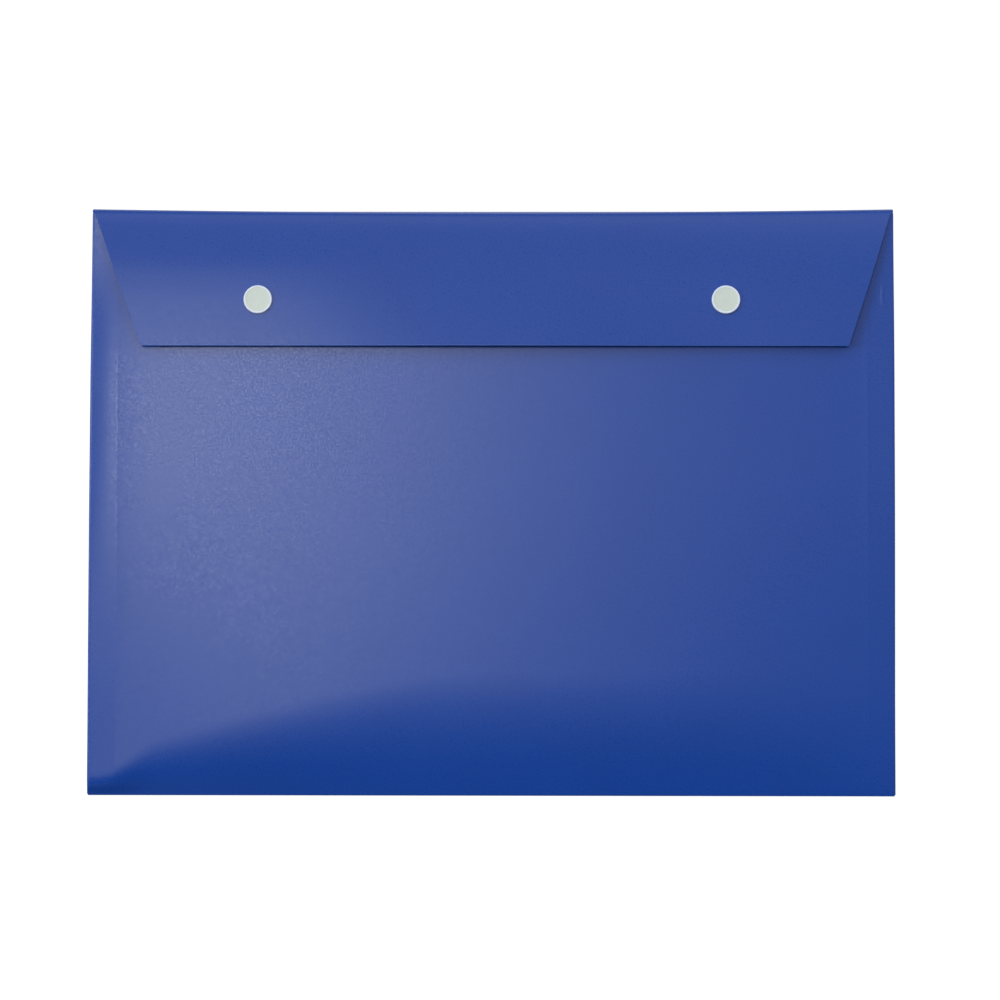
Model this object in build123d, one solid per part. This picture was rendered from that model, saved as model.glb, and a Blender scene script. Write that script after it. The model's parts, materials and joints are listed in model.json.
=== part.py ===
# A4 document wallet of polypropylene sheet, closed by a flap with two press studs.
# Millimetres. The wallet lies on its back: +X to the right, +Y to the top fold, +Z out of the front.
# The origin is the centre of the back panel's outer face.
import os
from math import atan2, cos, sin

from build123d import *

# Overall
wallet_width = 330.0
wallet_height = 240.0
sheet = 0.5
pocket_depth = 5.2

# Folds and creases: each fold is a round bead as thick as the bent sheet
fold_inner_radius = 0.05
crease_gap = 0.05
seat_gap = 0.02
panel_side_gap = 0.3

# Front sheet
bottom_slope_height = 32.0
mouth_drop = 8.0
margin_top_drop = 4.0
front_edge_inset = 1.2
mouth_corner_radius = 3.0

# Side tabs and the welded lines that hold the front sheet to them
side_tab_width = 12.0
tab_land_width = 3.2
tab_top_drop = 3.0
tab_top_slant = 7.0
weld_inset = 1.6
weld_width = 1.4
weld_height = 0.3
weld_end_margin = 8.0

# Flap
flap_depth = 56.4
flap_crown_run = 27.0
flap_crown_drop = 2.8
flap_root_inset = 2.0
flap_tip_inset = 20.0
flap_corner_radius = 1.5

# Press studs
snap_spacing = 191.2
snap_drop = 37.4
post_radius = 0.8
post_gap = 0.05
sheet_hole_gap = 0.15
rivet_head_radius = 1.25
rivet_head_height = 0.3
head_gap = 0.1
cap_radius = 5.7
cap_height = 1.3
cap_edge_radius = 0.8
cap_dish_radius = 3.9
cap_dish_depth = 0.12
socket_radius = 5.0
socket_height = 1.75
socket_ceiling = 0.55
socket_lip_height = 0.25
socket_undercut = 0.25
socket_edge_chamfer = 0.25
stud_radius = 5.0
stud_flange_height = 0.6
stud_neck_height = 0.4
stud_ball_height = 0.4
stud_ball_radius = 1.95
stud_neck_radius = 1.75
snap_lip_gap = 0.2
snap_face_gap = 0.15
disc_radius = 5.0
disc_height = 0.7
disc_edge_radius = 0.3

# Levels and places that follow from the sizes above
half_width = wallet_width / 2
half_height = wallet_height / 2
fold_radius = sheet + fold_inner_radius
front_inside = sheet + pocket_depth
front_outside = front_inside + sheet
flap_inside = front_outside + stud_flange_height + snap_face_gap + socket_height
flap_outside = flap_inside + sheet

side_fold_x = half_width - fold_radius
bottom_fold_y = -half_height + fold_radius
top_fold_y = half_height - fold_radius
flap_crease_z = flap_outside - flap_crown_drop - fold_radius

crease_x = half_width - side_tab_width
front_edge_x = half_width - front_edge_inset
slope_crease_y = -half_height + bottom_slope_height
mouth_y = half_height - mouth_drop
margin_top_y = half_height - margin_top_drop
spine_half_width = half_width - flap_root_inset
snap_x = snap_spacing / 2
snap_y = half_height - snap_drop

# The bottom band is an arc, level at its upper crease, whose middle line ends on the bottom fold's axis
band_run = slope_crease_y - bottom_fold_y
band_drop = front_outside - sheet / 2 - fold_radius
band_radius = (band_run ** 2 + band_drop ** 2) / (2 * band_drop)

# The flap is level from its tip to the crown, an arc that bends down to the fold
crown_start_y = top_fold_y - flap_crown_run
crown_radius = (flap_crown_run ** 2 + flap_crown_drop ** 2) / (2 * flap_crown_drop)


def flat_face(plane, points):
    return plane * make_face(Polyline(*points, close=True))


def upright_prism(points, low, high):
    return Pos(0, 0, low) * extrude(flat_face(Plane.XY, points), amount=high - low, dir=(0, 0, 1))


def along_y(points, low, high):
    return Pos(0, low, 0) * extrude(flat_face(Plane.XZ, points), amount=high - low, dir=(0, 1, 0))


def turned(points):
    return revolve(flat_face(Plane.XZ, points), axis=Axis.Z)


def rod_x(radius, half_length, y, z):
    return Pos(0, y, z) * Rot(0, 90, 0) * Cylinder(radius, 2 * half_length)


def rod_y(radius, low, high, x, z):
    return Pos(x, (low + high) / 2, z) * Rot(90, 0, 0) * Cylinder(radius, high - low)


def at_snaps(shape):
    # The shape at the left and at the right press stud
    return {side: Pos(x, snap_y, 0) * shape for side, x in (("left", -snap_x), ("right", snap_x))}


def make_front_margin(weld):
    plan = [
        (crease_x, slope_crease_y),
        (front_edge_x, slope_crease_y),
        (front_edge_x, margin_top_y),
        (crease_x, margin_top_y),
    ]
    return upright_prism(plan, front_inside, front_outside) - weld


def band_cylinder(radius, half_length):
    # Cylinder about the line that the bottom band is bent round
    return rod_x(radius, half_length, slope_crease_y, front_outside - sheet / 2 - band_radius)


def make_side_tab(weld):
    # A gusset: from the side fold it slopes up and inwards to a land that lies under the front margin
    top_y = half_height - tab_top_drop
    land_x = crease_x + tab_land_width
    land_z = front_inside - sheet / 2
    slope = atan2(land_z - fold_radius, side_fold_x - land_x)
    half = sheet / 2
    normal = (half * sin(slope), half * cos(slope))
    bend = (half * sin(slope) / (1 + cos(slope)), half)
    section = [
        (side_fold_x + normal[0], fold_radius + normal[1]),
        (land_x + bend[0], land_z + bend[1]),
        (crease_x, land_z + half),
        (crease_x, land_z - half),
        (land_x - bend[0], land_z - bend[1]),
        (side_fold_x - normal[0], fold_radius - normal[1]),
    ]
    plan = [
        (crease_x, bottom_fold_y),
        (half_width, bottom_fold_y),
        (half_width, top_y),
        (side_fold_x, top_y),
        (crease_x, top_y - tab_top_slant),
    ]
    strip = along_y(section, bottom_fold_y, top_y) & upright_prism(plan, sheet + seat_gap, flap_outside)
    # Below the crease only what lies under the arc of the bottom band is kept
    below_crease = Box(wallet_width, wallet_height, flap_outside, align=(Align.CENTER, Align.MAX, Align.MIN))
    below_crease = Pos(0, slope_crease_y, 0) * below_crease
    strip -= below_crease - band_cylinder(band_radius - sheet / 2 - seat_gap, half_width)
    bead = rod_y(fold_radius, -half_height, top_y, side_fold_x, fold_radius)
    return bead + (strip - weld)


def make_seam_weld():
    # A flat bar, half sunk into the tab's land and half into the margin above it
    low = slope_crease_y + weld_end_margin
    high = mouth_y - tab_top_slant - weld_end_margin
    bar = Box(weld_width, high - low, weld_height)
    return Pos(crease_x + weld_inset, (low + high) / 2, front_inside) * bar


def make_bottom_slope():
    below_crease = upright_prism([
        (-front_edge_x, -half_height),
        (front_edge_x, -half_height),
        (front_edge_x, slope_crease_y),
        (-front_edge_x, slope_crease_y),
    ], sheet + seat_gap, flap_outside)
    outer = band_cylinder(band_radius + sheet / 2, front_edge_x)
    band = outer - band_cylinder(band_radius - sheet / 2, front_edge_x)
    bead = rod_x(fold_radius, front_edge_x, bottom_fold_y, fold_radius)
    crease = rod_x(sheet / 2 + crease_gap, crease_x, slope_crease_y, front_outside - sheet / 2)
    return bead + (band & below_crease) - crease


def make_back_panel():
    plan = [
        (-side_fold_x, bottom_fold_y),
        (side_fold_x, bottom_fold_y),
        (side_fold_x, top_fold_y),
        (-side_fold_x, top_fold_y),
    ]
    panel = upright_prism(plan, 0, sheet)
    panel -= rod_x(fold_radius + crease_gap, half_width, top_fold_y, fold_radius)
    panel -= rod_x(fold_radius + seat_gap, half_width, bottom_fold_y, fold_radius)
    for x in (-side_fold_x, side_fold_x):
        panel -= rod_y(fold_radius + seat_gap, -half_height, half_height, x, fold_radius)
    return panel


def make_front_panel():
    side = crease_x - panel_side_gap
    plan = [
        (-side, slope_crease_y),
        (side, slope_crease_y),
        (side, mouth_y),
        (-side, mouth_y),
    ]
    panel = upright_prism(plan, front_inside, front_outside)
    mouth_corners = panel.edges().filter_by(Axis.Z).group_by(Axis.Y)[-1]
    panel = fillet(mouth_corners, mouth_corner_radius)
    panel += rod_x(sheet / 2, side, slope_crease_y, front_outside - sheet / 2)
    for x in (-snap_x, snap_x):
        panel -= Pos(x, snap_y, front_inside) * Cylinder(post_radius + sheet_hole_gap, 4 * sheet)
    return panel


def make_spine():
    plan = [
        (-spine_half_width, half_height - sheet),
        (spine_half_width, half_height - sheet),
        (spine_half_width, half_height),
        (-spine_half_width, half_height),
    ]
    band = upright_prism(plan, fold_radius, flap_crease_z)
    for z in (fold_radius, flap_crease_z):
        band += rod_x(fold_radius, spine_half_width, top_fold_y, z)
    return band


def crown_cylinder(radius):
    # Cylinder about the line that the flap's crown is bent round
    return rod_x(radius, half_width, crown_start_y, flap_outside - crown_radius)


def make_flap():
    tip_half_width = half_width - flap_tip_inset
    tip_y = half_height - flap_depth
    plan = [
        (-spine_half_width, top_fold_y),
        (-tip_half_width, tip_y),
        (tip_half_width, tip_y),
        (spine_half_width, top_fold_y),
    ]
    outline = upright_prism(plan, 0, flap_outside)
    tip_corners = outline.edges().filter_by(Axis.Z).group_by(Axis.Y)[0]
    outline = fillet(tip_corners, flap_corner_radius)
    level_part = upright_prism([
        (-half_width, tip_y),
        (half_width, tip_y),
        (half_width, crown_start_y),
        (-half_width, crown_start_y),
    ], flap_inside, flap_outside)
    crown_part = upright_prism([
        (-half_width, crown_start_y),
        (half_width, crown_start_y),
        (half_width, top_fold_y),
        (-half_width, top_fold_y),
    ], 0, flap_outside)
    crown_part &= crown_cylinder(crown_radius) - crown_cylinder(crown_radius - sheet)
    panel = outline & (level_part + crown_part)
    panel -= rod_x(fold_radius + crease_gap, half_width, top_fold_y, flap_crease_z)
    for x in (-snap_x, snap_x):
        panel -= Pos(x, snap_y, flap_inside) * Cylinder(post_radius + sheet_hole_gap, 4 * sheet)
    return panel


def make_cap():
    head_top = flap_inside - socket_ceiling
    cap_top = flap_outside + cap_height
    section = [
        (0, head_top - rivet_head_height),
        (rivet_head_radius, head_top - rivet_head_height),
        (rivet_head_radius, head_top),
        (post_radius, head_top),
        (post_radius, flap_outside),
        (cap_radius, flap_outside),
        (cap_radius, cap_top),
        (0, cap_top),
    ]
    cap = turned(section)
    cap = fillet(cap.edges().filter_by(GeomType.CIRCLE).group_by(Axis.Z)[-1], cap_edge_radius)
    dish_ball_radius = (cap_dish_radius ** 2 + cap_dish_depth ** 2) / (2 * cap_dish_depth)
    return cap - Pos(0, 0, cap_top - cap_dish_depth + dish_ball_radius) * Sphere(dish_ball_radius)


def make_socket():
    bottom = flap_inside - socket_height
    ceiling = flap_inside - socket_ceiling
    bore = post_radius + post_gap
    lip = stud_ball_radius + snap_lip_gap
    cavity = lip + socket_undercut
    return turned([
        (bore, flap_inside),
        (socket_radius, flap_inside),
        (socket_radius, bottom + socket_edge_chamfer),
        (socket_radius - socket_edge_chamfer, bottom),
        (lip, bottom),
        (lip, bottom + socket_lip_height),
        (cavity, bottom + socket_lip_height + socket_undercut),
        (cavity, ceiling),
        (bore, ceiling),
    ])


def make_stud():
    flange_top = front_outside + stud_flange_height
    neck_top = flange_top + stud_neck_height
    ball_top = neck_top + stud_ball_height
    bore = post_radius + post_gap
    recess = rivet_head_radius + head_gap
    recess_floor = ball_top - rivet_head_height - head_gap
    shoulder = stud_ball_radius - stud_neck_radius
    return turned([
        (bore, front_outside),
        (stud_radius, front_outside),
        (stud_radius, flange_top - socket_edge_chamfer),
        (stud_radius - socket_edge_chamfer, flange_top),
        (stud_neck_radius, flange_top),
        (stud_neck_radius, neck_top - shoulder),
        (stud_ball_radius, neck_top),
        (stud_ball_radius, ball_top - shoulder),
        (stud_neck_radius, ball_top),
        (recess, ball_top),
        (recess, recess_floor),
        (bore, recess_floor),
    ])


def make_stud_rivet():
    ball_top = front_outside + stud_flange_height + stud_neck_height + stud_ball_height
    head_top = ball_top - head_gap
    disc = turned([
        (0, front_inside - disc_height),
        (disc_radius, front_inside - disc_height),
        (disc_radius, front_inside),
        (post_radius, front_inside),
        (post_radius, head_top - rivet_head_height),
        (rivet_head_radius, head_top - rivet_head_height),
        (rivet_head_radius, head_top),
        (0, head_top),
    ])
    return fillet(disc.edges().filter_by(GeomType.CIRCLE).group_by(Axis.Z)[0], disc_edge_radius)


def left_and_right(shape):
    # A shape drawn on the right, and its mirror image on the left
    return {"left": mirror(shape, about=Plane.YZ), "right": shape}


def make_nodes():
    nodes = {
        "back_panel": make_back_panel(),
        "front_bottom_slope": make_bottom_slope(),
        "front_panel": make_front_panel(),
        "top_spine": make_spine(),
        "flap_panel": make_flap(),
    }
    weld = make_seam_weld()
    pairs = {
        "side_tab": left_and_right(make_side_tab(weld)),
        "front_margin": left_and_right(make_front_margin(weld)),
        "seam_weld": left_and_right(weld),
        "cap": at_snaps(make_cap()),
        "socket": at_snaps(make_socket()),
        "stud": at_snaps(make_stud()),
        "stud_rivet": at_snaps(make_stud_rivet()),
    }
    for name, pair in pairs.items():
        for side, shape in pair.items():
            nodes[side + "_" + name] = shape
    return nodes


os.makedirs("parts", exist_ok=True)
for node, shape in make_nodes().items():
    export_step(shape, "parts/" + node + ".step")
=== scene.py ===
import json
import math
import random
import bpy
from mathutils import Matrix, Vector


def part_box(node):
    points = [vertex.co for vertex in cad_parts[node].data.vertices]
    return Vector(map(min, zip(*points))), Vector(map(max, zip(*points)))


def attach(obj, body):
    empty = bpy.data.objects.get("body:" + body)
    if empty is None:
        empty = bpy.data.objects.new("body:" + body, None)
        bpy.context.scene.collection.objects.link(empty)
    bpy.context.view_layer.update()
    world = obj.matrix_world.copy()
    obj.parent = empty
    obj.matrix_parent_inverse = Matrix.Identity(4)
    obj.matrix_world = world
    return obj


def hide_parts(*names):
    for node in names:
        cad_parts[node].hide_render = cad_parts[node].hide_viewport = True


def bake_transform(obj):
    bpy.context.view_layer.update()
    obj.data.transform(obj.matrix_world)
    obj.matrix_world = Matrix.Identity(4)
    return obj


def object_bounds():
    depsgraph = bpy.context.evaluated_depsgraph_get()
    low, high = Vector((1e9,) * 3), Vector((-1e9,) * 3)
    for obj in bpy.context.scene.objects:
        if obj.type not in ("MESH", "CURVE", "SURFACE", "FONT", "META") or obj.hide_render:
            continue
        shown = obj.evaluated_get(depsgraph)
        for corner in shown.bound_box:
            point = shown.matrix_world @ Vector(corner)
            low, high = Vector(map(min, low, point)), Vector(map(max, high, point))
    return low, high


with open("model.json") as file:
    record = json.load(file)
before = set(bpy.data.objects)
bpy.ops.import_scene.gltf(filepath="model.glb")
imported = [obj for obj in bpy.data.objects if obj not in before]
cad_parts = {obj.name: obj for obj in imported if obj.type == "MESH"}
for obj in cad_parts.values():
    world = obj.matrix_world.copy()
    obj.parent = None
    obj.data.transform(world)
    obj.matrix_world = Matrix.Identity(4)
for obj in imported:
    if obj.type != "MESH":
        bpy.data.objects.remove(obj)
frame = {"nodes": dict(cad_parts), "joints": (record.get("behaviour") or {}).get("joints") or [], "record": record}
cadLow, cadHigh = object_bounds()
mm = 0.001


# Places that the pieces are built to, in millimetres, read from the frame

def boxOf(node):
    low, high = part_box(node)
    return low / mm, high / mm


jointAt = {j["name"]: Vector(j["pos_m"]) / mm for j in frame["joints"]}
panelLow, panelHigh = boxOf("front_panel")
creaseX = boxOf("right_front_margin")[0].x
flapLow, flapHigh = boxOf("flap_panel")
capLow, capHigh = boxOf("right_cap")
snapAt = (capLow + capHigh) / 2
sheetThick = panelHigh.z - panelLow.z
frontTop = panelHigh.z
mouthY = panelHigh.y
hingeY = jointAt["front_gape"].y
spineAxis = jointAt["spine_crease"]
beadRadius = spineAxis.z
bottomY = cadLow.y / mm + beadRadius
sideFoldX = cadHigh.x / mm - beadRadius


# Small tools for working in edit mode, all in millimetres

hair = 1e-3  # how near to its place a vertex is picked


def deselectAll():
    if bpy.context.object and bpy.context.object.mode != "OBJECT":
        bpy.ops.object.mode_set(mode="OBJECT")
    bpy.ops.object.select_all(action="DESELECT")


def pickVertices(obj, test):
    bpy.ops.object.mode_set(mode="EDIT")
    bpy.ops.mesh.select_mode(type="VERT")
    bpy.ops.mesh.select_all(action="DESELECT")
    bpy.ops.object.mode_set(mode="OBJECT")
    for vertex in obj.data.vertices:
        vertex.select = test(vertex.co / mm)
    bpy.ops.object.mode_set(mode="EDIT")


def pickSharpEdges(obj, test):
    bpy.ops.object.mode_set(mode="EDIT")
    bpy.ops.mesh.select_mode(type="EDGE")
    bpy.ops.mesh.select_all(action="DESELECT")
    bpy.ops.mesh.edges_select_sharp(sharpness=math.radians(sheetForm["cutAngle"]))
    bpy.ops.object.mode_set(mode="OBJECT")
    points = obj.data.vertices
    for edge in obj.data.edges:
        edge.select = edge.select and all(test(points[i].co / mm) for i in edge.vertices)
    bpy.ops.object.mode_set(mode="EDIT")


def cutAcross(axis, places):
    # Adds an edge loop straight across the mesh at each place along the axis
    normal = [1 if i == axis else 0 for i in range(3)]
    for place in places:
        bpy.ops.mesh.select_all(action="SELECT")
        bpy.ops.mesh.bisect(plane_co=[place * mm * n for n in normal], plane_no=normal)


def extrudeBy(x, y, z):
    bpy.ops.mesh.extrude_edges_move(TRANSFORM_OT_translate={"value": (x * mm, y * mm, z * mm)})


def evenly(low, high, step):
    count = max(1, round(abs(high - low) / step))
    return [low + (high - low) * i / count for i in range(count + 1)]


def turnThrough(start, end):
    # Angles on the way round a fold, from degrees to radians
    return [math.radians(a) for a in evenly(start, end, sheetForm["foldStep"])]


def stepsToEdge(start, edge, step):
    # The last step is narrow, which keeps the rounding of a cut edge out of the face beside it
    return evenly(start, edge - sheetForm["edgeStrip"], step) + [edge]


def addGrid(name, low, high, cell):
    deselectAll()
    size = (high[0] - low[0], high[1] - low[1])
    across, along = [max(1, round(length / cell)) for length in size]
    bpy.ops.mesh.primitive_grid_add(
        x_subdivisions=across, y_subdivisions=along, size=1,
        location=((low[0] + high[0]) / 2 * mm, (low[1] + high[1]) / 2 * mm, 0))
    obj = bpy.context.object
    obj.name = name
    obj.scale = (size[0] * mm, size[1] * mm, 1)
    bpy.ops.object.transform_apply(location=True, rotation=True, scale=True)
    return obj


def drape(obj, height):
    # Lays a flat mesh over a surface that is given as a height at each place
    bpy.ops.object.mode_set(mode="OBJECT")
    for vertex in obj.data.vertices:
        vertex.co.z = height(vertex.co.x / mm, vertex.co.y / mm) * mm


def applyModifier(obj, kind, **settings):
    modifier = obj.modifiers.new(kind.lower(), kind)
    for setting, value in settings.items():
        setattr(modifier, setting, value)
    bpy.context.view_layer.objects.active = obj
    bpy.ops.object.modifier_apply(modifier=modifier.name)


sheetForm = {
    # Step beside a cut edge, how near to a cut its sharp edges are looked for, and the least angle of such an edge
    "edgeStrip": 0.3, "cutReach": 0.15, "cutAngle": 60,
    # Shading is smooth up to this angle, and folds turn in these steps
    "sharpFrom": 40, "foldStep": 22.5,
}
faceSlot, cutSlot = 0, 1  # the sheet's two materials on a piece


def finishSheet(obj, cuts):
    # Gives a draped surface the sheet's thickness, then takes the sharpness off its cut edges: each cut is
    # a test for the edges' ends, the size of the bevel and its material
    bpy.ops.object.mode_set(mode="EDIT")
    bpy.ops.mesh.select_all(action="SELECT")
    bpy.ops.mesh.normals_make_consistent(inside=False)
    bpy.ops.object.mode_set(mode="OBJECT")
    if max(obj.data.polygons, key=lambda face: abs(face.normal.z)).normal.z < 0:
        bpy.ops.object.mode_set(mode="EDIT")
        bpy.ops.mesh.flip_normals()
        bpy.ops.object.mode_set(mode="OBJECT")
    obj.data.materials.append(grainedSheet)
    obj.data.materials.append(cutEdgeAndHighlight)
    # The cut faces round the rim take the paler edge colour, partly a painted highlight
    applyModifier(obj, "SOLIDIFY", thickness=sheetThick * mm, offset=-1, use_even_offset=True,
                  material_offset_rim=cutSlot)
    for isCut, bevel, material in cuts:
        pickSharpEdges(obj, isCut)
        bpy.ops.mesh.bevel(offset=bevel * mm, segments=2, affect="EDGES", material=material)
    bpy.ops.object.mode_set(mode="OBJECT")
    bpy.ops.object.shade_smooth_by_angle(angle=math.radians(sheetForm["sharpFrom"]))
    print(obj.name + ":", len(obj.data.polygons), "faces")


def smooth(value):
    t = min(1, max(0, value))
    return t * t * (3 - 2 * t)


def risingFrom(low, high, value):
    return smooth((value - low) / (high - low))


def hump(offset, width):
    return math.exp(-(offset / width) ** 2)


# Materials

def fromHex(code):
    channels = [int(code[i:i + 2], 16) / 255 for i in (1, 3, 5)]
    return [c / 12.92 if c <= 0.04045 else ((c + 0.055) / 1.055) ** 2.4 for c in channels] + [1]


def addNode(tree, kind, settings=None, values=None, links=None):
    node = tree.nodes.new(kind)
    for name, value in (settings or {}).items():
        setattr(node, name, value)
    for socket, value in (values or {}).items():
        node.inputs[socket].default_value = value
    for socket, source in (links or {}).items():
        tree.links.new(source, node.inputs[socket])
    return node


def newMaterial(name, **shading):
    material = bpy.data.materials.new(name)
    material.use_nodes = True
    tree = material.node_tree
    shader = tree.nodes["Principled BSDF"]
    for socket, value in shading.items():
        shader.inputs[socket.replace("_", " ")].default_value = value
    return material, tree, shader


sheetFinish = {
    "blue": "#0C429D", "deepBlue": "#0C3F98", "mottle": 38, "grain": 0.7, "grainHeight": 0.009,
    "roughness": (0.25, 0.355), "ior": 1.49, "gloss": 0.46,
}


def makeGrainedSheet():
    # Extruded polypropylene with a sand-grained face: a deep even blue, a wide soft haze under a lamp and a
    # fine speckle. The real grain is about 0.2 mm, too fine to show, so it is drawn at 0.7 mm
    look = sheetFinish
    material, tree, shader = newMaterial("sand-grained polypropylene sheet", IOR=look["ior"],
                                         Specular_IOR_Level=look["gloss"])
    place = addNode(tree, "ShaderNodeTexCoord").outputs["Object"]
    mottle = addNode(tree, "ShaderNodeTexNoise", values={"Scale": 1 / (look["mottle"] * mm), "Detail": 3},
                     links={"Vector": place})
    grain = addNode(tree, "ShaderNodeTexNoise", values={"Scale": 1 / (look["grain"] * mm), "Detail": 1},
                    links={"Vector": place})
    both = addNode(tree, "ShaderNodeMath", {"operation": "ADD"},
                   links={0: grain.outputs["Fac"], 1: mottle.outputs["Fac"]})
    share = addNode(tree, "ShaderNodeMapRange", values={"From Min": 0.7, "From Max": 1.3},
                    links={"Value": both.outputs[0]})
    gloss = addNode(tree, "ShaderNodeMapRange", links={"Value": grain.outputs["Fac"]}, values={
        "From Min": 0.3, "From Max": 0.7, "To Min": look["roughness"][0], "To Max": look["roughness"][1]})
    bump = addNode(tree, "ShaderNodeBump", values={"Strength": 1, "Distance": look["grainHeight"] * mm},
                   links={"Height": grain.outputs["Fac"]})
    colour = addNode(tree, "ShaderNodeMix", {"data_type": "RGBA"},
                     {"A": fromHex(look["blue"]), "B": fromHex(look["deepBlue"])},
                     {"Factor": share.outputs["Result"]})
    tree.links.new(colour.outputs["Result"], shader.inputs["Base Color"])
    tree.links.new(gloss.outputs["Result"], shader.inputs["Roughness"])
    tree.links.new(bump.outputs["Normal"], shader.inputs["Normal"])
    return material


# Colours of the cut edges: their paleness is partly a painted highlight along the cut
edgeAndHighlightFinish = {"pale": "#4C74BE", "deep": "#2C5AAE", "streak": 0.8, "roughness": 0.45, "ior": 1.49}


def makeCutEdge():
    # The same sheet where the die went through it, with short streaks along the cut. It is painted paler, partly
    # its own colour and partly a painted highlight along the cut edge
    look = edgeAndHighlightFinish
    material, tree, shader = newMaterial("die-cut polypropylene edge, partly painted highlight", Roughness=look["roughness"],
                                         IOR=look["ior"])
    place = addNode(tree, "ShaderNodeTexCoord").outputs["Object"]
    streak = addNode(tree, "ShaderNodeTexNoise", values={"Scale": 1 / (look["streak"] * mm), "Detail": 2},
                     links={"Vector": place})
    colour = addNode(tree, "ShaderNodeMix", {"data_type": "RGBA"},
                     {"A": fromHex(look["pale"]), "B": fromHex(look["deep"])}, {"Factor": streak.outputs["Fac"]})
    tree.links.new(colour.outputs["Result"], shader.inputs["Base Color"])
    return material


# Disc colours, and the rim's whiter colours, which are a painted highlight on the rim
snapFinish = {
    "milk": "#D4DED7", "cloudy": "#C8D4CE", "rimHighlightMilk": "#E4EDFA", "rimHighlightCloudy": "#D6E3F4", "cloud": 2.2,
    "flowHeight": 0.02, "roughness": 0.42, "ior": 1.5, "scatter": 0.3, "scatterReach": 1.0,
}


def makeNaturalPlastic(name, milk, cloudy):
    # Uncoloured moulded polypropylene: milky, satin, with faint flow clouds; its whiter copy on the rim is a
    # painted highlight
    look = snapFinish
    material, tree, shader = newMaterial(
        name, Roughness=look["roughness"], IOR=look["ior"],
        Subsurface_Weight=look["scatter"], Subsurface_Radius=(1.0, 1.0, 0.9),
        Subsurface_Scale=look["scatterReach"] * mm)
    place = addNode(tree, "ShaderNodeTexCoord").outputs["Object"]
    cloud = addNode(tree, "ShaderNodeTexNoise", values={"Scale": 1 / (look["cloud"] * mm), "Detail": 3},
                    links={"Vector": place})
    bump = addNode(tree, "ShaderNodeBump", values={"Strength": 1, "Distance": look["flowHeight"] * mm},
                   links={"Height": cloud.outputs["Fac"]})
    colour = addNode(tree, "ShaderNodeMix", {"data_type": "RGBA"},
                     {"A": fromHex(milk), "B": fromHex(cloudy)}, {"Factor": cloud.outputs["Fac"]})
    tree.links.new(colour.outputs["Result"], shader.inputs["Base Color"])
    tree.links.new(bump.outputs["Normal"], shader.inputs["Normal"])
    return material


grainedSheet = makeGrainedSheet()
cutEdgeAndHighlight = makeCutEdge()
naturalPlastic = makeNaturalPlastic("natural moulded polypropylene",
                                    snapFinish["milk"], snapFinish["cloudy"])
# A whiter copy for the caps' rims, a painted highlight
rimHighlightPlastic = makeNaturalPlastic("natural polypropylene, rim painted lighter",
                                  snapFinish["rimHighlightMilk"], snapFinish["rimHighlightCloudy"])
finishOf = {"grained_sheet": grainedSheet, "snap_plastic": naturalPlastic}
for part in frame["record"]["subparts"]:
    node = frame["nodes"][part["node"]]
    node.data.materials.clear()
    node.data.materials.append(finishOf[part["material_slot"]])
print("materials: 4, set on", len(frame["nodes"]), "nodes")


# The front sheet: one bowed surface, cut into a border that is fixed and two halves that gape

frontForm = {
    # Bend to the bottom fold: how far up it starts, and how much less far at the left and right corners
    "bendReach": 49, "bendLean": 0.03, "bendPower": 2.0, "bendSharpen": (1.0, 0), "bendLag": (28, 4),
    "lagFrom": 20, "lagTo": 160, "lagPower": 1.5, "cornerLag": (8.5, 0), "cornerFrom": 136, "cornerTo": 157,
    # The pocket is thinner at its bottom corners, and its top corners and mouth go down
    "cornerEase": 2.6, "easeTop": 20, "easePower": 3, "topDroop": 1.8, "topDroopFrom": 50, "droopReach": 40,
    "mouthDip": 0.8, "mouthDipFrom": 88,
    # Left and right: rise of the sheet to the weld, its reach, then the curl of the margin outside it.
    # The rise fades to the top, and the curl both ways
    "lipRise": (0.65, 0.05), "lipReach": (11, 3.3), "lipFade": (42, 112), "marginCurl": (0.0066, 0),
    "curlFrom": (-80, 40), "curlTo": (66, 112),
    # The row of weld dots, some stronger than others
    "ridgeRise": 0.045, "ridgeAt": 0.7, "ridgeWidth": 0.5, "dotPitch": 2.3, "dotLevels": (0.2, 1.0),
    "dotCount": 160, "dotSeed": 7,
    # A crescent mark of handling on the right margin
    "markX": 159.8, "markY": 85, "markRadius": 16, "markHalf": 5.2, "markRise": 0.09, "markWidth": 0.5,
    # The mesh, with narrow rows beside the seams
    "cell": 1.8, "marginCell": 0.45, "marginRow": 0.9, "seamRows": (0.15, 0.45, 1.0),
    "marginTop": 118.9, "edgeInside": 0.4, "bevel": 0.10,
    # The pressed edge rolls over
    "rollWidth": 0.75, "rollDrop": 0.35, "rollColumns": (0.5, 0.3, 0.15, 0),
    # How far the left and right edges are moved to the right, at the bottom and at the top
    "edgeLean": ((-0.45, 0.25), (0.1, 0.2)),
    # The halves bow open: still this far inside the weld, free this far outside the stud
    "stillInside": 1, "freeOutside": 8,
}
edgeX = cadHigh.x / mm - frontForm["edgeInside"]
weldDots = random.Random(frontForm["dotSeed"])
dotStrength = [weldDots.uniform(*frontForm["dotLevels"]) for dot in range(frontForm["dotCount"])]


def weldRidge(outside, y):
    form = frontForm
    place = (y - bottomY) / form["dotPitch"]
    dot = dotStrength[int(place) % len(dotStrength)] * math.sin(math.pi * (place % 1)) ** 2
    return form["ridgeRise"] * dot * hump(outside - form["ridgeAt"], form["ridgeWidth"])


def handlingMark(x, y):
    form = frontForm
    away = abs(y - form["markY"]) / form["markHalf"]
    if x < 0 or away > 1:
        return 0
    # It fades out over the outer half of its length
    reach = math.hypot(x - form["markX"] - form["markRadius"], y - form["markY"])
    return form["markRise"] * smooth(2 - 2 * away) * hump(reach - form["markRadius"], form["markWidth"])


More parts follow.
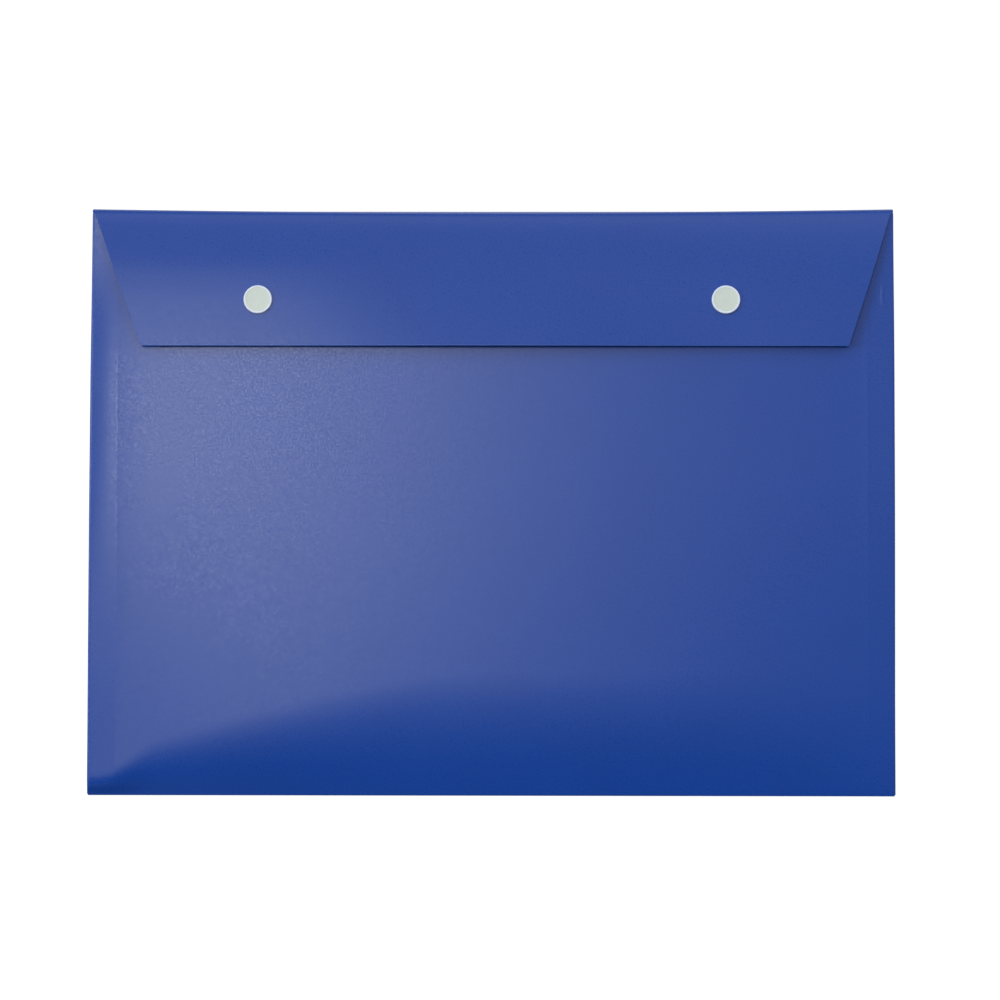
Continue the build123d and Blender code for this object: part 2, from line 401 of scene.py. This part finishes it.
def restingHeight(x, y):
    # The sheet's outer face without its bend to the bottom fold
    form = frontForm
    side, hand = abs(x), int(x > 0)
    outside = side - creaseX
    ease = form["cornerEase"] * (side / edgeX) ** form["easePower"]
    ease *= 1 - risingFrom(bottomY, form["easeTop"], y)
    droop = form["topDroop"] * risingFrom(form["topDroopFrom"], form["marginTop"], y)
    dip = form["mouthDip"] * risingFrom(form["mouthDipFrom"], mouthY, y)
    down = droop + (dip - droop) * smooth(-outside / form["droopReach"])
    lip = form["lipRise"][hand] * math.exp(min(0, outside) / form["lipReach"][hand])
    lip *= 1 - risingFrom(*form["lipFade"], y)
    curl = form["marginCurl"][hand] * risingFrom(*form["curlFrom"], y)
    curl *= 1 - risingFrom(*form["curlTo"], y)
    bend = curl * max(0, outside) ** 2
    bend += form["rollDrop"] * max(0, 1 - (edgeX - side) / form["rollWidth"]) ** 2
    return frontTop - ease - down + lip - bend + weldRidge(outside, y) + handlingMark(x, y)


def frontHeight(x, y):
    form = frontForm
    hand = int(x > 0)
    corner = max(0, abs(x) - form["lagFrom"]) / (form["lagTo"] - form["lagFrom"])
    corner = min(1, corner) ** form["lagPower"]
    reach = form["bendReach"] + form["bendLean"] * x - form["bendLag"][hand] * corner
    reach -= form["cornerLag"][hand] * risingFrom(form["cornerFrom"], form["cornerTo"], abs(x))
    fall = max(0, 1 - (y - bottomY) / reach)
    if fall == 0:
        return restingHeight(x, y)
    power = form["bendPower"] + form["bendSharpen"][hand] * corner
    return restingHeight(x, y) - (restingHeight(x, bottomY) - 2 * beadRadius) * fall ** power


def leanEdges(obj):
    form = frontForm
    for vertex in obj.data.vertices:
        x, y = vertex.co.x / mm, vertex.co.y / mm
        low, high = form["edgeLean"][int(x > 0)]
        out = max(0, abs(x) - creaseX) / (edgeX - creaseX)
        vertex.co.x += out * (low + (high - low) * (y - bottomY) / (form["marginTop"] - bottomY)) * mm


def makeBorder():
    form = frontForm
    obj = addGrid("front_border", (-creaseX, bottomY), (creaseX, hingeY), form["cell"])
    bpy.ops.object.mode_set(mode="EDIT")
    cutAcross(1, [hingeY - row for row in form["seamRows"]])
    # The margins grow sideways out of the band, then up from its top corners
    columns = evenly(creaseX, edgeX - form["rollWidth"], form["marginCell"])
    columns += [edgeX - step for step in form["rollColumns"]]
    for way in (-1, 1):
        pickVertices(obj, lambda p: way * p.x > creaseX - hair)
        for near, far in zip(columns, columns[1:]):
            extrudeBy(way * (far - near), 0, 0)
    rows = stepsToEdge(hingeY, form["marginTop"], form["marginRow"])
    pickVertices(obj, lambda p: abs(p.x) > creaseX - hair and p.y > hingeY - hair)
    for near, far in zip(rows, rows[1:]):
        extrudeBy(0, far - near, 0)
    drape(obj, frontHeight)
    # The bottom edge turns round the fold, down to the back
    pickVertices(obj, lambda p: p.y < bottomY + hair)
    turn = turnThrough(90, 270)
    for a, b in zip(turn, turn[1:]):
        extrudeBy(0, beadRadius * (math.cos(b) - math.cos(a)), beadRadius * (math.sin(b) - math.sin(a)))
    bpy.ops.object.mode_set(mode="OBJECT")
    cut = sheetForm["cutReach"]
    isCut = lambda p: abs(p.x) > edgeX - cut or p.y > form["marginTop"] - cut
    finishSheet(obj, [(isCut, form["bevel"], faceSlot)])
    leanEdges(obj)
    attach(obj, "pocket")
    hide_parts("front_bottom_slope", "left_front_margin", "right_front_margin",
                "left_seam_weld", "right_seam_weld")


def makeFrontHalf(side, way):
    form = frontForm
    ends = sorted((0, way * creaseX))
    obj = addGrid("front_sheet_" + side, (ends[0], hingeY), (ends[1], mouthY), form["cell"])
    bpy.ops.object.mode_set(mode="EDIT")
    cutAcross(1, [hingeY + row for row in form["seamRows"]] + [mouthY - sheetForm["edgeStrip"]])
    cutAcross(0, [way * (creaseX - row) for row in form["seamRows"]])
    drape(obj, frontHeight)
    isMouth = lambda p: p.y > mouthY - sheetForm["cutReach"]
    finishSheet(obj, [(isMouth, form["bevel"], cutSlot)])
    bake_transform(obj)
    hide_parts("front_panel")


makeBorder()
makeFrontHalf("left", -1)
makeFrontHalf("right", 1)


# The side tabs: gussets that slope up from the side folds and end in a land under the front sheet

tabForm = {
    "landWidth": 3.2, "top": 119.3, "topSlant": 9.3, "cell": 0.6, "row": 1.5, "bevel": 0.10,
    # Room left under the front sheet, and the least height in thicknesses of the sheet
    "under": 0.03, "least": 1.2,
}


def tabHeight(x, y):
    form = tabForm
    landX = creaseX + form["landWidth"]
    side = abs(x)
    under = sheetThick + form["under"]
    land = frontHeight(math.copysign(landX, x), y) - under
    slope = land + (2 * beadRadius - land) * max(0, side - landX) / (sideFoldX - landX)
    if side > sideFoldX - form["cell"] / 2:
        return 2 * beadRadius
    return max(form["least"] * sheetThick, min(slope, frontHeight(x, y) - under))


def makeSideTab(side, way):
    form = tabForm
    top = form["top"]
    ends = sorted((way * creaseX, way * sideFoldX))
    obj = addGrid(side + "_gusset", (ends[0], bottomY), (ends[1], top), form["row"])
    bpy.ops.object.mode_set(mode="EDIT")
    cutAcross(0, [way * x for x in evenly(creaseX, sideFoldX, form["cell"])[1:-1]])
    # The top is cut on a slant, lowest at the inner edge
    bpy.ops.mesh.select_all(action="SELECT")
    bpy.ops.mesh.bisect(plane_co=(way * sideFoldX * mm, top * mm, 0),
                        plane_no=(-way * form["topSlant"], sideFoldX - creaseX, 0), clear_outer=True)
    drape(obj, tabHeight)
    # The outer edge turns round the side fold
    pickVertices(obj, lambda p: way * p.x > sideFoldX - hair)
    turn = turnThrough(90, -90)
    for a, b in zip(turn, turn[1:]):
        extrudeBy(way * beadRadius * (math.cos(b) - math.cos(a)), 0, beadRadius * (math.sin(b) - math.sin(a)))
    bpy.ops.object.mode_set(mode="OBJECT")
    isInner = lambda p: abs(p.x) < creaseX + sheetForm["cutReach"]
    finishSheet(obj, [(isInner, form["bevel"], cutSlot)])
    leanEdges(obj)
    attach(obj, "pocket")
    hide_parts(side + "_side_tab")


makeSideTab("left", -1)
makeSideTab("right", 1)


# The flap and the spine: one sheet, from the tip over the fold and down to the back

flapForm = {
    # Tilt of the face in degrees at places from the tip to the root: by the sides, and in the middle, which lifts
    "sideTilt": ((63.6, 2.5), (82, 2.9), (94, 4.5), (100, 7.2), (107, 8.8), (113, 10.5), (117, 16)),
    "middleTilt": ((63.6, 6.0), (82, 6.5), (94, 6.8), (107, 7.4), (113, 10), (117, 16)),
    "middleFrom": 15, "middleTo": 105,
    # Half widths, and the share of the fold's turn in which it widens
    "tipHalf": 144.6, "rootHalf": 163.25, "foldHalf": 164.5, "flareTurn": 0.25,
    # Moves to the right: of the whole sheet, and how much more of its tip
    "rootShift": 0.2, "tipShift": 1.0,
    # The fold: its radius, its bow at the ends and in the middle, and how far down flap and spine the bow goes
    "foldRadius": 3.4, "bowEnd": 1.4, "bowMiddle": 0.03, "bowReach": 30, "bowHeight": 2.6,
    # The mesh, with the fold's step in radians, the spine's as a share and the turn round the foot in degrees
    "cell": 2.0, "row": 1.0, "turnStep": 0.1, "spineStep": 0.1, "footTurn": 112.5,
    # Cut edges, and where those of the sides start, in radii of the foot's bead
    "tipCorner": 0.25, "tipBevel": 0.16, "sideBevel": 0.08, "sideCutFrom": 2.2,
    # Heights between which the sheet goes over from the spine to the flap
    "blendLow": 2.0, "blendHigh": 4.2,
}
tipY = flapLow.y
rootY, rootTilt = flapForm["sideTilt"][-1]


def riseAlong(tilts, y):
    # Height over the root at a place, added up from the tilts between them
    rise = 0
    for (y0, tilt0), (y1, tilt1) in zip(tilts, tilts[1:]):
        start = max(y, y0)
        if start < y1:
            tilt = tilt0 + (tilt1 - tilt0) * (start - y0) / (y1 - y0)
            rise += math.radians((tilt + tilt1) / 2) * (y1 - start)
    return rise


def flapHeight(x, y):
    form = flapForm
    middle = 1 - smooth((abs(x) - form["middleFrom"]) / (form["middleTo"] - form["middleFrom"]))
    side = riseAlong(form["sideTilt"], y)
    return rootZ + side + (riseAlong(form["middleTilt"], y) - side) * middle


rootZ = flapHigh.z - riseAlong(flapForm["sideTilt"], snapAt.y)
snapTilt = math.atan(flapHeight(snapAt.x, snapAt.y - 0.5) - flapHeight(snapAt.x, snapAt.y + 0.5))


def flapPath():
    # Steps (y, z, half width) along the sheet's outer face, from the tip to the back
    form = flapForm
    radius = form["foldRadius"]
    path = []
    for y in [tipY] + evenly(tipY + sheetForm["edgeStrip"], rootY, form["row"]):
        half = form["tipHalf"] + (form["rootHalf"] - form["tipHalf"]) * (y - tipY) / (rootY - tipY)
        path.append((y, rootZ + riseAlong(form["sideTilt"], y), half))
    tilt = math.radians(rootTilt)
    middle = (rootY - radius * math.sin(tilt), rootZ - radius * math.cos(tilt))
    for a in evenly(tilt, math.pi / 2, form["turnStep"])[1:]:
        turned = (a - tilt) / (math.pi / 2 - tilt)
        half = form["rootHalf"] + (form["foldHalf"] - form["rootHalf"]) * smooth(turned / form["flareTurn"])
        path.append((middle[0] + radius * math.sin(a), middle[1] + radius * math.cos(a), half))
    y, z, half = path[-1]
    foot = spineAxis.y + beadRadius
    for t in evenly(0, 1, form["spineStep"])[1:]:
        path.append((y + (foot - y) * t, z + (spineAxis.z - z) * t, half))
    for a in turnThrough(0, form["footTurn"])[1:]:
        path.append((spineAxis.y + beadRadius * math.cos(a), spineAxis.z - beadRadius * math.sin(a), half))
    return path


def settleFlap(obj):
    # The middle of the tip lifts, and the fold bows inwards
    form = flapForm
    for vertex in obj.data.vertices:
        p = vertex.co / mm
        if p.z > rootZ - hair:
            p.z = flapHeight(p.x, p.y)
            p.x += form["tipShift"] * (rootY - p.y) / (rootY - tipY)
        bow = form["bowEnd"] + (form["bowMiddle"] - form["bowEnd"]) * (1 - (p.x / form["foldHalf"]) ** 2)
        near = smooth(1 - (rootY - p.y) / form["bowReach"])
        over = smooth(p.z / form["bowHeight"])
        p.y += bow * over * near
        p.x += form["rootShift"]
        vertex.co = p * mm


def makeFlap():
    form = flapForm
    path = flapPath()
    y, z, half = path[0]
    deselectAll()
    bpy.ops.mesh.primitive_grid_add(x_subdivisions=round(2 * half / form["cell"]), y_subdivisions=1, size=1)
    obj = bpy.context.object
    obj.name = "flap_and_spine"
    # The grid's far row, half a metre out, is kept as the tip's edge, with a narrow step at each end
    inner = half - sheetForm["edgeStrip"]
    pickVertices(obj, lambda p: p.y < 0)
    bpy.ops.mesh.delete(type="VERT")
    bpy.ops.mesh.select_all(action="SELECT")
    bpy.ops.transform.translate(value=(0, y * mm - 0.5, z * mm))
    bpy.ops.transform.resize(value=(2 * inner * mm, 1, 1), center_override=(0, 0, 0))
    for way in (-1, 1):
        pickVertices(obj, lambda p: way * p.x > inner - hair)
        bpy.ops.mesh.extrude_vertices_move(TRANSFORM_OT_translate={"value": (way * (half - inner) * mm, 0, 0)})
    bpy.ops.mesh.select_mode(type="EDGE")
    bpy.ops.mesh.select_all(action="SELECT")
    for (y0, z0, half0), (y1, z1, half1) in zip(path, path[1:]):
        extrudeBy(0, y1 - y0, z1 - z0)
        bpy.ops.transform.resize(value=(half1 / half0, 1, 1), center_override=(0, 0, 0))
    pickVertices(obj, lambda p: p.y < tipY + hair and abs(p.x) > half - hair)
    bpy.ops.mesh.bevel(offset=form["tipCorner"] * mm, segments=2, affect="VERTICES")
    bpy.ops.object.mode_set(mode="OBJECT")
    settleFlap(obj)
    cut = sheetForm["cutReach"]
    isTip = lambda p: p.y < tipY + cut
    isSide = lambda p: p.y > tipY + cut and p.z > form["sideCutFrom"] * beadRadius
    # The tip's bevel takes the paler edge colour, a painted highlight along the tip; the sides' bevels keep the
    # face colour
    finishSheet(obj, [(isTip, form["tipBevel"], cutSlot), (isSide, form["sideBevel"], faceSlot)])
    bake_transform(obj)
    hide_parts("top_spine", "flap_panel")


makeFlap()


# The press studs' caps: a flat milky disc inside a rim painted whiter as a highlight, with the post that holds the
# socket

capForm = {
    "segments": 96, "radius": 5.8, "edgeRadius": 0.35, "edgeStep": 11.25, "foot": 0.12, "sharpFrom": 40,
    # The dish: shares of its radius and depth across its floor, then steps outwards and shares of the depth
    # up its wall
    "dishRadius": 5.0, "dishDepth": 0.10, "middle": 0.35, "dishFloor": ((0.5, 0.95), (0.9, 0.9), (1, 0.75)),
    "dishWall": ((0.12, 0.1), (0.2, 0)),
    "postRadius": 0.8, "headRadius": 1.25, "headHeight": 0.3, "headDrop": 1.35, "headChamfer": 0.06,
}


def capRings():
    # (radius, height over the flap) from the middle of the top to the middle of the head underneath
    form = capForm
    top = capHigh.z - flapHigh.z
    radius, dish, deep = form["radius"], form["dishRadius"], form["dishDepth"]
    edge, foot = form["edgeRadius"], form["foot"]
    rings = [(form["middle"], top - deep)]
    rings += [(dish * out, top - deep * down) for out, down in form["dishFloor"]]
    rings += [(dish + out, top - deep * down) for out, down in form["dishWall"]]
    for turn in evenly(90, 0, form["edgeStep"]):
        a = math.radians(turn)
        rings.append((radius - edge + edge * math.cos(a), top - edge + edge * math.sin(a)))
    post, head, chamfer = form["postRadius"], form["headRadius"], form["headChamfer"]
    low = -form["headDrop"]
    rings += [(radius, foot), (radius - foot, 0), (post, 0)]
    rings += [(post, low + form["headHeight"]), (head, low + form["headHeight"]),
              (head, low + chamfer), (head - chamfer, low)]
    return rings


def makeCap():
    rings = capRings()
    at = snapAt * mm
    deselectAll()
    bpy.ops.mesh.primitive_circle_add(vertices=capForm["segments"], radius=rings[0][0] * mm, fill_type="NGON",
                                      location=(at.x, at.y, (flapHigh.z + rings[0][1]) * mm))
    obj = bpy.context.object
    obj.name = "right_cap_moulded"
    bpy.ops.object.mode_set(mode="EDIT")
    bpy.ops.mesh.select_mode(type="EDGE")
    bpy.ops.mesh.select_all(action="SELECT")
    bpy.ops.mesh.region_to_loop()
    for (r0, z0), (r1, z1) in zip(rings, rings[1:]):
        extrudeBy(0, 0, z1 - z0)
        bpy.ops.transform.resize(value=(r1 / r0, r1 / r0, 1), center_override=(at.x, at.y, 0))
    bpy.ops.mesh.edge_face_add()
    bpy.ops.mesh.select_all(action="SELECT")
    bpy.ops.mesh.normals_make_consistent(inside=False)
    bpy.ops.object.mode_set(mode="OBJECT")
    obj.data.materials.append(naturalPlastic)
    obj.data.materials.append(rimHighlightPlastic)
    # Everything outside the dish gets the whiter colour, a painted highlight on the rim
    for face in obj.data.polygons:
        face.material_index = int(face.center.xy.length > capForm["dishRadius"] * mm)
    bpy.ops.object.shade_smooth_by_angle(angle=math.radians(capForm["sharpFrom"]))
    # It leans with the flap that it is set in
    obj.rotation_euler.x = -snapTilt
    bpy.ops.object.transform_apply(location=True, rotation=True, scale=True)
    return obj


def seatCap(obj, side):
    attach(obj, "flap")
    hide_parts(side + "_cap")


rightCap = makeCap()
deselectAll()
rightCap.select_set(True)
bpy.ops.object.duplicate()
leftCap = bpy.context.object
leftCap.name = "left_cap_moulded"
bpy.ops.transform.translate(value=(-2 * snapAt.x * mm, 0, 0))
bpy.ops.object.transform_apply(location=True, rotation=True, scale=True)
seatCap(rightCap, "right")
seatCap(leftCap, "left")
print("caps: 2, of", len(rightCap.data.polygons), "faces")


# Floor, light and camera

stageForm = {
    # Metres across, and millimetres below the wallet
    "floorSize": 14, "floorGap": 0.05, "glow": 0.92, "floor": "#7C7C7C",
    # A ring of light on the walls: level in front and at the back, the way in which it grows, and the heights
    # between which it rises and falls, as the upward share of the way there
    "ring": (0.145, 1.0), "ringWay": (-0.5, 1, 0), "ringEnds": (-0.8, 0.2), "ringRise": (0.1, 0.4),
    "ringFall": (0.72, 0.92),
    # A dim ceiling inside the ring: level, the way in which it grows, and where it starts and is full
    "ceiling": 0.51, "ceilingWay": (0.12, 1, 0), "ceilingEnds": (-0.35, 0.05), "ceilingRise": (0.55, 0.85),
}


def makeFloor():
    deselectAll()
    bpy.ops.mesh.primitive_plane_add(size=stageForm["floorSize"],
                                     location=(0, 0, cadLow.z - stageForm["floorGap"] * mm))
    floor = bpy.context.object
    floor.name = "studio_floor"
    material, tree, shader = newMaterial(
        "matt white paper sweep", Base_Color=fromHex(stageForm["floor"]), Roughness=0.9,
        Specular_IOR_Level=0, Emission_Color=(1, 1, 1, 1))
    # White to the eye and in gloss, with room left for the object's shadow
    path = addNode(tree, "ShaderNodeLightPath")
    seen = addNode(tree, "ShaderNodeMath", {"operation": "MAXIMUM"},
                   links={0: path.outputs["Is Camera Ray"], 1: path.outputs["Is Glossy Ray"]})
    seenAll = addNode(tree, "ShaderNodeMath", {"operation": "MAXIMUM"},
                      links={0: seen.outputs[0], 1: path.outputs["Is Transmission Ray"]})
    level = addNode(tree, "ShaderNodeMath", {"operation": "MULTIPLY"}, {1: stageForm["glow"]},
                    {0: seenAll.outputs[0]})
    tree.links.new(level.outputs[0], shader.inputs["Emission Strength"])
    floor.data.materials.append(material)


def makeWorld():
    # The ring gives the sheet its colour, and the ceiling its veil, which ends over the bottom fold
    world = bpy.data.worlds.new("studio")
    bpy.context.scene.world = world
    world.use_nodes = True
    tree = world.node_tree
    look = stageForm
    way = addNode(tree, "ShaderNodeTexCoord").outputs["Generated"]
    height = addNode(tree, "ShaderNodeSeparateXYZ", links={"Vector": way}).outputs["Z"]
    ringAlong, ceilingAlong = [
        addNode(tree, "ShaderNodeVectorMath", {"operation": "DOT_PRODUCT"}, {1: look[name]},
                {0: way}).outputs["Value"]
        for name in ("ringWay", "ceilingWay")]
    level = {}
    for name, place, ends, levels in (
            ("ringRise", height, look["ringRise"], (0, 1)),
            ("ringFall", height, look["ringFall"], (1, 0)),
            ("ringGrowth", ringAlong, look["ringEnds"], look["ring"]),
            ("ceilingGrowth", ceilingAlong, look["ceilingEnds"], (0, look["ceiling"])),
            ("ceilingRise", height, look["ceilingRise"], (0, 1))):
        ramp = addNode(tree, "ShaderNodeMapRange", {"interpolation_type": "SMOOTHSTEP"}, {
            "From Min": ends[0], "From Max": ends[1], "To Min": levels[0], "To Max": levels[1]}, {"Value": place})
        level[name] = ramp.outputs["Result"]
    # The eye sees plain white past the floor's edge
    level["eye"] = addNode(tree, "ShaderNodeLightPath").outputs["Is Camera Ray"]
    for name, operation, first, second in (
            ("band", "MULTIPLY", "ringRise", "ringFall"),
            ("ring", "MULTIPLY", "band", "ringGrowth"),
            ("ceiling", "MULTIPLY", "ceilingGrowth", "ceilingRise"),
            ("light", "ADD", "ring", "ceiling"),
            ("seen", "MAXIMUM", "light", "eye")):
        joined = addNode(tree, "ShaderNodeMath", {"operation": operation},
                         links={0: level[first], 1: level[second]})
        level[name] = joined.outputs[0]
    background = tree.nodes["Background"]
    background.inputs["Color"].default_value = (1, 1, 1, 1)
    tree.links.new(level["seen"], background.inputs["Strength"])


# Each lamp: way to it from the wallet, distance and size in metres, watts
lamps = {
    "overhead_softbox": ((-0.158, 0.085, 1.0), 9.0, (1.5, 1.5), 118),
    "side_softbox": ((-0.75, 0.1, 0.65), 3.5, (1.2, 1.2), 28),
    "back_strip": ((0.2, 0.55, 0.83), 2.6, (3.0, 0.3), 3),
}


def makeLamp(name, way, distance, size, power):
    light = bpy.data.lights.new(name, "AREA")
    light.shape = "RECTANGLE"
    light.size, light.size_y = size
    light.energy = power
    lamp = bpy.data.objects.new(name, light)
    bpy.context.scene.collection.objects.link(lamp)
    towards = Vector(way).normalized()
    lamp.location = towards * distance
    lamp.rotation_euler = towards.to_track_quat("Z", "Y").to_euler()


# Place in millimetres, turn in degrees
cameraForm = {"place": (11.367, -43.672, 1099.062), "turn": (2.330, 0.412, 0.073), "lens": 96.40, "sensor": 36}


def makeCamera():
    data = bpy.data.cameras.new("camera")
    data.sensor_width = cameraForm["sensor"]
    data.lens = cameraForm["lens"]
    data.clip_start, data.clip_end = 0.01, 100
    camera = bpy.data.objects.new("camera", data)
    camera.location = Vector(cameraForm["place"]) * mm
    camera.rotation_euler = [math.radians(turn) for turn in cameraForm["turn"]]
    bpy.context.scene.collection.objects.link(camera)
    bpy.context.scene.camera = camera


makeFloor()
makeWorld()
for name, settings in lamps.items():
    makeLamp(name, *settings)
makeCamera()
bpy.context.scene.view_settings.view_transform = "Standard"
print("stage: floor, world,", len(lamps), "lamps, camera")

bpy.context.view_layer.update()
